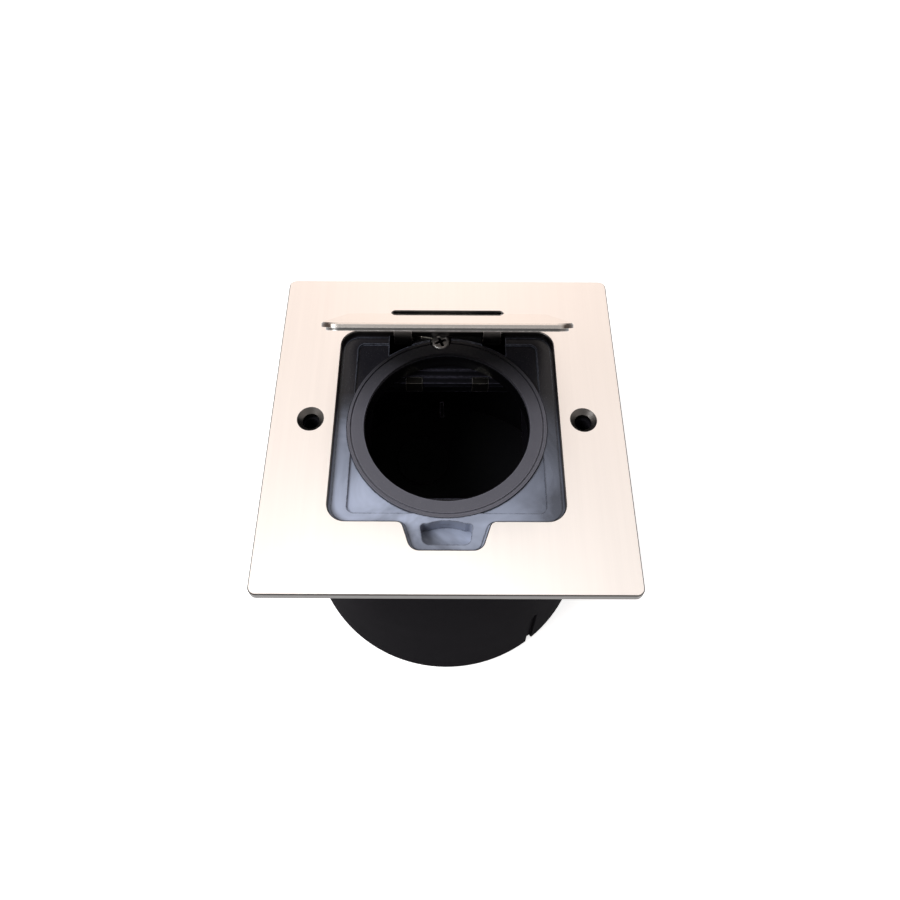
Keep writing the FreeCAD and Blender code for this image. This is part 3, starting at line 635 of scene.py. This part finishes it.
class FLOORBOX_OT_small_metal(bpy.types.Operator):
    """Plate the fasteners and finish the bracket, pin, clips and earth tag"""
    bl_idname = "floorbox.small_metal"
    bl_label = "Small metal"

    def execute(self, context):
        colours = context.scene.floor_box_colours
        dress(plain_metal("plated_steel", colours.plated, rough=0.30),
              "plate_studs", "stud_washers", "stud_nuts", "carrier_screws", "lid_rivets")
        dress(plain_metal("bracket_steel", colours.bracket, rough=0.42), "hinge_saddle")
        dress(plain_metal("drawn_steel", colours.wire, rough=0.30), "hinge_pin")
        # Painted shade and highlights: the clips are darkened and their edges made very light.
        dress(plain_metal("clip_steel", dimmer(colours.wire, 0.09), rough=0.40, edge_gain=25.0),
              "module_clips")
        dress(plain_metal("tag_brass", colours.brass, rough=0.34), "earth_tag")
        return {"FINISHED"}


class FLOORBOX_OT_plastics(bpy.types.Operator):
    """Finish the smoked tray, the carrier, the can and the rubber pieces"""
    bl_idname = "floorbox.plastics"
    bl_label = "Plastic and rubber"

    def execute(self, context):
        colours = context.scene.floor_box_colours
        dress(smoked_plastic(colours), "lid_tray")
        # The seal takes a painted shade towards its back.
        dress(moulded("seal_rubber", colours.seal, rough=0.38, grain=2400.0, gloss=0.4,
                      dust_amount=0.1, painted_shade_span=(4 * MM, 26 * MM)), "ring_seal")
        # Painted highlights: the carrier's edges are made many times lighter.
        dress(moulded("carrier_plastic", colours.carrier, rough=0.34, grain=1800.0,
                      edge_gain=24.0), "module_carrier")
        dress(moulded("can_plastic", colours.can, rough=0.80, grain=1400.0, gloss=0.01),
              "mounting_can")
        # Painted highlights: the base's edges are made many times lighter.
        dress(moulded("base_plastic", colours.can, rough=0.50, grain=1400.0, edge_gain=70.0),
              "can_base")
        dress(moulded("soft_rubber", colours.rubber, rough=0.62, grain=2000.0, edge_gain=6.0),
              "cable_grommets", "floor_plug", "plate_gasket")
        return {"FINISHED"}


class FLOORBOX_OT_coil(bpy.types.Operator):
    """Wind the hinge spring: a smooth coil on the pin, with one leg hooked round the screw"""
    bl_idname = "floorbox.coil"
    bl_label = "Hinge spring"

    def execute(self, context):
        sizes = context.scene.floor_box_sizes
        wire = sizes.wire / 2
        pin = (PIN_LOW + PIN_HIGH) / 2
        pin_r = (PIN_HIGH.z - PIN_LOW.z) / 2
        mean_r = pin_r + sizes.coil_gap + wire
        # Half the coil's length: it stops just short of the cheeks.
        half = SADDLE_SIDE - sizes.cheek - 1.7 * wire
        turns = 2 * half / sizes.coil_pitch
        points_a_turn = 28
        angle = np.linspace(0, turns * 2 * np.pi, int(turns * points_a_turn))
        # The coil: a helix about X that starts under the pin at the left cheek.
        coil = np.stack([-half + sizes.coil_pitch * angle / (2 * np.pi),
                         pin.y + mean_r * np.sin(angle),
                         pin.z - mean_r * np.cos(angle)], axis=-1)
        level = SCREW_HIGH.z - sizes.head_height - wire
        screw = Vector(((SCREW_LOW.x + SCREW_HIGH.x) / 2, (SCREW_LOW.y + SCREW_HIGH.y) / 2))
        # The leg: straight forward from the coil's start, across to the screw, and a
        # quarter turn round its shank, with a little play.
        hook_r = sizes.shank + 1.2 * wire
        forward_reach = 5.5 * MM
        hook_points, straight_points = 16, 24
        corner = np.array([-half, pin.y - forward_reach, level])
        meet = np.array([screw.x, screw.y + hook_r, level])
        sweep = np.linspace(0, np.pi / 2, hook_points)[1:, None]
        hook = np.concatenate([screw.x + hook_r * np.sin(sweep),
                               screw.y + hook_r * np.cos(sweep),
                               np.full_like(sweep, level)], axis=1)
        share = np.linspace(0, 1, straight_points)[1:, None]
        forward = coil[0] + (corner - coil[0]) * share
        across = corner + (meet - corner) * share
        leg = np.concatenate([forward, across, hook])
        # Its corners are rounded: each point becomes the mean of the few around it.
        few = 5
        padded = np.pad(leg, ((few // 2, few // 2), (0, 0)), mode="edge")
        weights = np.ones(few) / few
        soft = np.stack([np.convolve(line, weights, mode="valid") for line in padded.T],
                        axis=-1)
        path = np.concatenate([soft[::-1], coil])
        # The guide is Z along the leg and turns to X, the coil's own axis, at its end.
        lean = np.clip(np.arange(len(path)) / len(soft) * 2.2 - 1.1, 0, 1)[:, None]
        guide = lean * np.array([1.0, 0.0, 0.0]) + (1 - lean) * np.array([0.0, 0.0, 1.0])
        piece = closed_tube_mesh("hinge_coil", carry_circle(path, guide, wire, sides=12))
        colours = context.scene.floor_box_colours
        finish_piece(piece, plain_metal("spring_wire", colours.wire, rough=0.26), "box",
                     ["hinge_spring"])
        return {"FINISHED"}


class FLOORBOX_OT_cross_screw(bpy.types.Operator):
    """Turn the hinge screw: a domed head with a tapered cross recess"""
    bl_idname = "floorbox.cross_screw"
    bl_label = "Hinge screw"

    def execute(self, context):
        sizes = context.scene.floor_box_sizes
        centre = (SCREW_LOW + SCREW_HIGH) / 2
        head_r = (SCREW_HIGH.x - SCREW_LOW.x) / 2
        top, tip = SCREW_HIGH.z, SCREW_LOW.z
        under = top - sizes.head_height
        # The profile runs from the middle of the head over its dome, round the rim, under
        # the head and down the shank; radius and height along it are both arrays. The
        # rim bends down from top_share of the radius, by rim_drop of the height.
        top_share, rim_drop = 0.72, 0.62
        chamfer, point = 0.2 * MM, 0.6 * MM
        top_rows, rim_rows, sides = 46, 12, 160
        flat = np.linspace(0.02, top_share, top_rows) * head_r
        bend = np.linspace(0, np.pi / 2, rim_rows)[1:]
        rim_r = flat[-1] + (1 - top_share) * head_r * np.sin(bend)
        rim_z = top - rim_drop * sizes.head_height * (1 - np.cos(bend))
        radius = np.concatenate([flat, rim_r,
                                 [head_r, head_r - chamfer / 2, sizes.shank * 1.02],
                                 [sizes.shank, sizes.shank, sizes.shank * 0.5]])
        height = np.concatenate([np.full_like(flat, top), rim_z,
                                 [under + chamfer, under, under],
                                 [under - chamfer, tip + point, tip]])
        turn = np.linspace(0, 2 * np.pi, sides, endpoint=False)
        x = radius[:, None] * np.cos(turn)
        y = radius[:, None] * np.sin(turn)
        # The cross: two crossed bars that narrow towards their floor. Each wall slopes
        # over a share of the bar's own half width or half length.
        side_slope, end_slope = 0.35, 0.30
        near = np.minimum(np.abs(x), np.abs(y))
        far = np.maximum(np.abs(x), np.abs(y))
        arm = smooth_step((sizes.cross_half - near) / (side_slope * sizes.cross_half) + 0.5)
        reach = smooth_step((sizes.cross_reach - far) / (end_slope * sizes.cross_reach) + 0.5)
        # The crown: the head falls away from its middle with the square of the radius.
        crown_drop = 0.10
        share = np.clip(radius / head_r, 0, 1)[:, None]
        crown = -crown_drop * sizes.head_height * share ** 2
        on_top = (np.arange(len(radius)) < top_rows)[:, None]
        z = height[:, None] + on_top * (crown - arm * reach * sizes.cross_depth)
        slant = math.radians(24)
        points = np.stack([centre.x + x * math.cos(slant) - y * math.sin(slant),
                           centre.y + x * math.sin(slant) + y * math.cos(slant), z], axis=-1)
        piece = closed_tube_mesh("cross_screw", points[::-1])
        colours = context.scene.floor_box_colours
        # Painted shade: the cross's floor is black, and its walls turn to the head's own colour.
        pit = (top - 0.8 * MM, top - 0.4 * MM)
        finish_piece(piece, plain_metal("screw_steel", colours.plated, rough=0.34, pit=pit),
                     "box", ["hinge_screw"])
        return {"FINISHED"}


def thread_grid(radius, depth, pitch, low, high, inward):
    """A threaded wall: the radius falls and rises as a triangle wave of height and turn.

    The wave fades out over the first and last pitch; inward swaps crests and grooves.
    """
    sides, rows_a_pitch = 36, 8
    turn = np.linspace(0, 2 * np.pi, sides, endpoint=False)
    rows = int((high - low) / pitch * rows_a_pitch)
    z = np.linspace(low, high, rows)[:, None]
    phase = (z / pitch - turn[None, :] / (2 * np.pi)) % 1.0
    wave = np.abs(2 * phase - 1)
    ends = np.clip(np.minimum(z - low, high - z) / pitch, 0, 1)
    r = radius - depth * (1 - wave if inward else wave) * ends
    return np.stack([r * np.cos(turn), r * np.sin(turn), np.broadcast_to(z, r.shape)],
                    axis=-1)


class FLOORBOX_OT_studs(bpy.types.Operator):
    """Cut threads on the studs under the plate"""
    bl_idname = "floorbox.studs"
    bl_label = "Threaded studs"

    def execute(self, context):
        sizes = context.scene.floor_box_sizes
        reach_x = STUDS_HIGH.x - sizes.stud
        reach_y = STUDS_HIGH.y - sizes.stud
        wall = thread_grid(sizes.stud, 0.35 * sizes.stud_pitch, sizes.stud_pitch,
                           STUDS_LOW.z, STUDS_HIGH.z, False)
        made = [closed_tube_mesh("stud", wall + np.array([sx * reach_x, sy * reach_y, 0.0]))
                for sx in (-1, 1) for sy in (-1, 1)]
        piece = join_objects("threaded_studs", made)
        colours = context.scene.floor_box_colours
        finish_piece(piece, plain_metal("stud_steel", colours.plated, rough=0.32), "box",
                     ["plate_studs"])
        return {"FINISHED"}


class FLOORBOX_OT_bores(bpy.types.Operator):
    """Line the can's two screw bores with thread"""
    bl_idname = "floorbox.bores"
    bl_label = "Threaded bores"

    def execute(self, context):
        sizes = context.scene.floor_box_sizes
        mount = next(m for m in frame["record"]["mounts"] if m["name"] == "can_boss_right")
        reach, _, high = mount["pos_m"]
        threaded_share = 0.4
        low = high - threaded_share * mount["dims"]["length_mm"] * MM
        wall = thread_grid(sizes.boss_bore, 0.5 * sizes.boss_pitch, sizes.boss_pitch,
                           low, high, True)
        # The outer wall follows the thread's rows down again, on the bore's own radius.
        outer = wall[::-1].copy()
        outer[..., :2] *= (sizes.boss_bore / np.linalg.norm(outer[..., :2], axis=-1))[..., None]
        shell = np.concatenate([wall, outer])
        faces = grid_faces(len(shell), shell.shape[1], ring=True).tolist()
        made = []
        for side in (-1, 1):
            moved = shell + np.array([side * reach, 0.0, 0.0])
            made.append(make_object("bore", moved.reshape(-1, 3), faces))
        piece = join_objects("threaded_bores", made)
        colours = context.scene.floor_box_colours
        dark = dimmer(colours.plated, 0.35)
        finish_piece(piece, plain_metal("bore_steel", dark, rough=0.30), "box")
        return {"FINISHED"}


class FLOORBOX_OT_stage(bpy.types.Operator):
    """Set the floor, the lamps, the room and the camera"""
    bl_idname = "floorbox.stage"
    bl_label = "Stage"

    def execute(self, context):
        stage = context.scene.floor_box_stage
        self.floor()
        self.room(context, stage.room)
        top = Vector((0, 0, PLATE_TOP))
        powers = {"key_lamp": stage.key_power, "top_lamp": stage.top_power,
                  "back_wash": stage.wash_power}
        for name, power in powers.items():
            self.lamp(context, name, top, power, **LAMPS[name])
        self.camera(context, stage, top)
        return {"FINISHED"}

    def floor(self):
        corners = FLOOR_REACH * np.array([[-1, -1, 0], [1, -1, 0], [1, 1, 0], [-1, 1, 0]])
        made = make_object("studio_floor", corners, [[0, 1, 2, 3]])
        made.data.materials.append(floor_material())

    def room(self, context, strength):
        """Warm low down, white overhead, and a dark card high up at the front.

        Only the view itself stays white all round.
        """
        world = bpy.data.worlds.new("studio_room")
        context.scene.world = world
        world.use_nodes = True
        tree = world.node_tree
        back = tree.nodes["Background"]
        toward = add(tree, "ShaderNodeTexCoord").outputs["Generated"]
        overhead = ramp(tree, split(tree, toward)["Z"], 0.82, 0.95)
        walls = blend_colour(tree, overhead, ROOM_WALLS, WHITE)
        at_card = ramp(tree, dot_product(tree, toward, TOWARDS_CARD), 0.72, 0.92)
        room = blend_colour(tree, at_card, walls, ROOM_CARD)
        view = add(tree, "ShaderNodeLightPath").outputs["Is Camera Ray"]
        join(tree, blend_colour(tree, view, room, WHITE), back.inputs["Color"])
        level = spread(tree, camera_mirror_mask(tree), strength, 1.0)
        join(tree, level, back.inputs["Strength"])

    def lamp(self, context, name, target, power, place, size, colour):
        data = bpy.data.lights.new(name, "AREA")
        data.shape = "DISK"
        data.size = size
        data.energy = power
        data.color = colour
        made = bpy.data.objects.new(name, data)
        made.location = place
        made.rotation_euler = (target - Vector(place)).to_track_quat("-Z", "Y").to_euler()
        context.scene.collection.objects.link(made)

    def camera(self, context, stage, top):
        """Stands in front of the plate and above it, and looks down at it.

        back points from the scene to the camera, right and up span the frame, and the
        roll turns both about back.
        """
        turn = math.radians(stage.camera_turn)
        tilt = math.radians(stage.camera_tilt)
        roll = math.radians(stage.camera_roll)
        back = Vector((math.sin(turn) * math.cos(tilt), -math.cos(turn) * math.cos(tilt),
                       math.sin(tilt)))
        level = Vector((math.cos(turn), math.sin(turn), 0))
        rise = back.cross(level)
        right = level * math.cos(roll) + rise * math.sin(roll)
        up = rise * math.cos(roll) - level * math.sin(roll)
        data = bpy.data.cameras.new("studio_camera")
        data.sensor_width = 36.0
        data.lens = stage.lens
        data.shift_y = stage.shift
        data.clip_start = 10 * MM
        made = bpy.data.objects.new("studio_camera", data)
        place = top + Vector((stage.camera_side, -stage.camera_front, stage.camera_over))
        made.matrix_world = Matrix((right, up, back)).transposed().to_4x4()
        made.matrix_world.translation = place
        context.scene.collection.objects.link(made)
        context.scene.camera = made


class FLOORBOX_PT_panel(bpy.types.Panel):
    """The sizes, colours and steps of the floor socket box."""
    bl_idname = "FLOORBOX_PT_panel"
    bl_label = "Floor socket box"
    bl_space_type = "VIEW_3D"
    bl_region_type = "UI"
    bl_category = "Floor box"

    def draw(self, context):
        scene = context.scene
        for settings in (scene.floor_box_colours, scene.floor_box_sizes, scene.floor_box_stage):
            column = self.layout.column(align=True)
            for name in settings.__annotations__:
                column.prop(settings, name)
        for step in STEPS:
            self.layout.operator(step.bl_idname)


STEPS = (FLOORBOX_OT_stage, FLOORBOX_OT_steel, FLOORBOX_OT_small_metal, FLOORBOX_OT_plastics,
         FLOORBOX_OT_coil, FLOORBOX_OT_cross_screw, FLOORBOX_OT_studs, FLOORBOX_OT_bores)
SETTINGS = {"floor_box_colours": FloorBoxColours, "floor_box_sizes": FloorBoxSizes,
            "floor_box_stage": FloorBoxStage}
CLASSES = (*SETTINGS.values(), *STEPS, FLOORBOX_PT_panel)


def register():
    for made in CLASSES:
        bpy.utils.register_class(made)
    for name, made in SETTINGS.items():
        setattr(bpy.types.Scene, name, bpy.props.PointerProperty(type=made))


def unregister():
    for name in SETTINGS:
        delattr(bpy.types.Scene, name)
    for made in reversed(CLASSES):
        bpy.utils.unregister_class(made)


def main():
    register()
    bpy.context.scene.view_settings.view_transform = "Standard"
    for step in STEPS:
        family, name = step.bl_idname.split(".")
        getattr(getattr(bpy.ops, family), name)()


if __name__ == "__main__":
    main()
